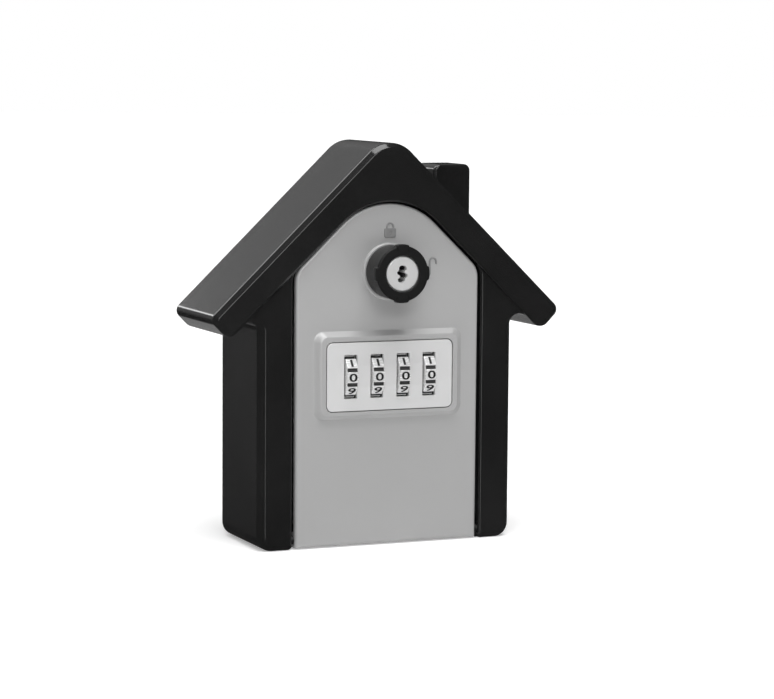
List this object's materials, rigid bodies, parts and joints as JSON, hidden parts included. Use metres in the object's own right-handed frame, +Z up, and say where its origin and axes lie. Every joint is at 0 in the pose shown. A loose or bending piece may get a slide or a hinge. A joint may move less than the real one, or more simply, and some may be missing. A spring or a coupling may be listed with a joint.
{
  "type": "key lock box",
  "caption": "House-shaped wall key safe: black housing with pitched roof and chimney, silver drop-down door with turn knob, key cylinder and combination dials.",
  "frame": {"origin": "middle of the bounding box in plan, at the base the box stands on", "axes": "+Z up, the door faces -Y and the flat back faces +Y, +X to the right seen from the front"},
  "size_m": [0.1386, 0.0544, 0.15],
  "materials": {
    "housing_gloss": "high-gloss black moulded plastic",
    "door_paint": "satin silver-grey paint on die-cast zinc",
    "plate_satin": "satin silver plate",
    "wheel_chrome": "plated dial wheels with black digits",
    "knob_plastic": "black plastic knob, satin sides",
    "plug_nickel": "nickel-plated key plug",
    "zinc": "bare die-cast zinc",
    "steel": "zinc-plated steel",
    "brass": "machined brass",
    "inner_plastic": "matt black moulded plastic",
    "cover_paint": "black powder coat on die-cast zinc",
    "rubber": "soft black rubber strip",
    "key_nickel": "nickel-plated cut key"
  },
  "bodies": {
    "housing": {"housing": "housing_gloss", "hinge_pin": "steel", "door_seal": "rubber", "hook_rail": "steel", "hook_screws": "steel"},
    "key": {"spare_key": "key_nickel"},
    "door": {"door_panel": "door_paint", "knob_bush": "inner_plastic", "dial_plate": "plate_satin", "dial_frame": "zinc", "frame_screws": "steel", "dial_shaft": "steel", "reset_spring": "steel", "detent_spring": "steel", "door_cover": "cover_paint", "cover_screws": "steel"},
    "dial_1": {"dial_wheel_1": "wheel_chrome", "dial_sleeve_1": "brass"},
    "dial_2": {"dial_wheel_2": "wheel_chrome", "dial_sleeve_2": "brass"},
    "dial_3": {"dial_wheel_3": "wheel_chrome", "dial_sleeve_3": "brass"},
    "dial_4": {"dial_wheel_4": "wheel_chrome", "dial_sleeve_4": "brass"},
    "locking_bar": {"locking_bar": "steel"},
    "reset_lever": {"reset_lever": "zinc"},
    "knob": {"knob": "knob_plastic", "cylinder_body": "zinc", "drive_eccentric": "brass", "latch_cam": "zinc", "cam_nut": "steel"},
    "plug": {"cylinder_plug": "plug_nickel", "plug_wafers": "brass", "cylinder_clip": "steel"}
  },
  "joints": [
    {"name": "door_hinge", "type": "hinge", "parent": "housing", "child": "door", "pos_m": [0, -0.0108, 0.0035], "axis": [1, 0, 0], "range_deg": [0, 100]},
    {"name": "knob_turn", "type": "hinge", "parent": "door", "child": "knob", "pos_m": [0, -0.0138, 0.1025], "axis": [0, -1, 0], "range_deg": [0, 90]},
    {"name": "plug_turn", "type": "hinge", "parent": "knob", "child": "plug", "pos_m": [0, -0.0218, 0.1025], "axis": [0, 1, 0], "range_deg": [0, 90]},
    {"name": "dial_1_spin", "type": "hinge", "parent": "door", "child": "dial_1", "pos_m": [-0.01575, -0.0097, 0.0639], "axis": [1, 0, 0], "continuous": true},
    {"name": "dial_2_spin", "type": "hinge", "parent": "door", "child": "dial_2", "pos_m": [-0.00525, -0.0097, 0.0639], "axis": [1, 0, 0], "continuous": true},
    {"name": "dial_3_spin", "type": "hinge", "parent": "door", "child": "dial_3", "pos_m": [0.00525, -0.0097, 0.0639], "axis": [1, 0, 0], "continuous": true},
    {"name": "dial_4_spin", "type": "hinge", "parent": "door", "child": "dial_4", "pos_m": [0.01575, -0.0097, 0.0639], "axis": [1, 0, 0], "continuous": true},
    {"name": "locking_bar_slide", "type": "slide", "parent": "door", "child": "locking_bar", "axis": [1, 0, 0], "range_m": [0, 0.0032]},
    {"name": "reset_lever_slide", "type": "slide", "parent": "door", "child": "reset_lever", "axis": [-1, 0, 0], "range_m": [0, 0.0032]},
    {"name": "key_swing", "type": "hinge", "parent": "housing", "child": "key", "pos_m": [-0.03, 0.0188, 0.099], "axis": [0, 1, 0], "range_deg": [-14, 14]}
  ],
  "couplings": [
    {"joint": "locking_bar_slide", "follows": "knob_turn", "m_per_rad": 0.0020371}
  ]
}
